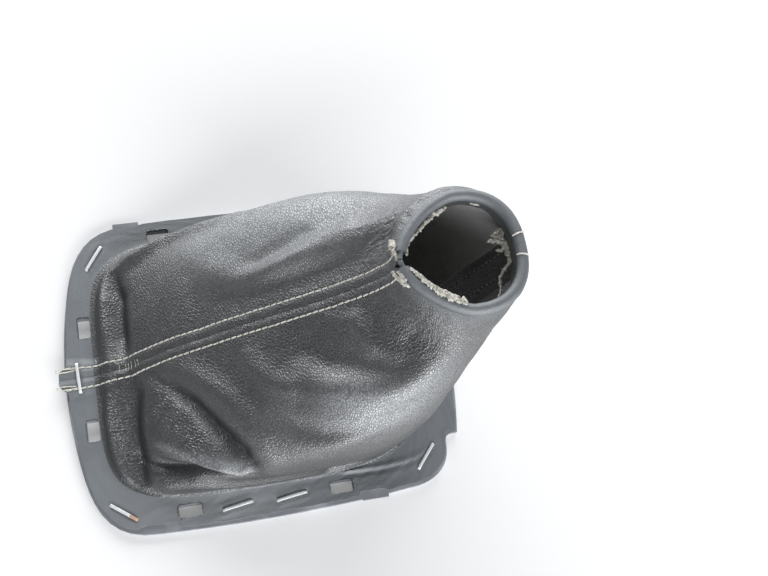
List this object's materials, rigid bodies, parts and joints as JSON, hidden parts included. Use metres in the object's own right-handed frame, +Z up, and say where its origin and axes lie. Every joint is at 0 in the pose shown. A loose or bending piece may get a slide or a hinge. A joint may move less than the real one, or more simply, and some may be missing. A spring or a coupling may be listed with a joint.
{
  "type": "gear lever gaiter",
  "caption": "Leather gear lever gaiter: a folded, leaning sleeve of two sewn panels, stapled to a flat plastic frame with clip slots, with a corded collar.",
  "frame": {"origin": "on the base plane, under the middle of the whole gaiter", "axes": "+X from the front seam towards the leaning collar, +Y to the far long edge, +Z up out of the frame"},
  "size_m": [0.1716, 0.1304, 0.0921],
  "materials": {
    "leather": "pebbled, worn, half gloss",
    "plastic": "dull grained moulding",
    "cord": "smooth grey piping cord",
    "thread": "cream sewing thread",
    "steel": "bright wire, one with rust"
  },
  "bodies": {
    "root": {"frame_plate": "plastic", "near_panel": "leather", "far_panel": "leather", "collar_cord": "cord", "front_seam_stitch_near": "thread", "rear_seam_stitch_near": "thread", "front_seam_stitch_far": "thread", "rear_seam_stitch_far": "thread", "staple_1": "steel", "staple_2": "steel", "staple_3": "steel", "staple_4": "steel", "staple_5": "steel", "staple_6": "steel", "staple_7": "steel", "staple_8": "steel", "staple_9": "steel", "staple_10": "steel"}
  },
  "joints": []
}
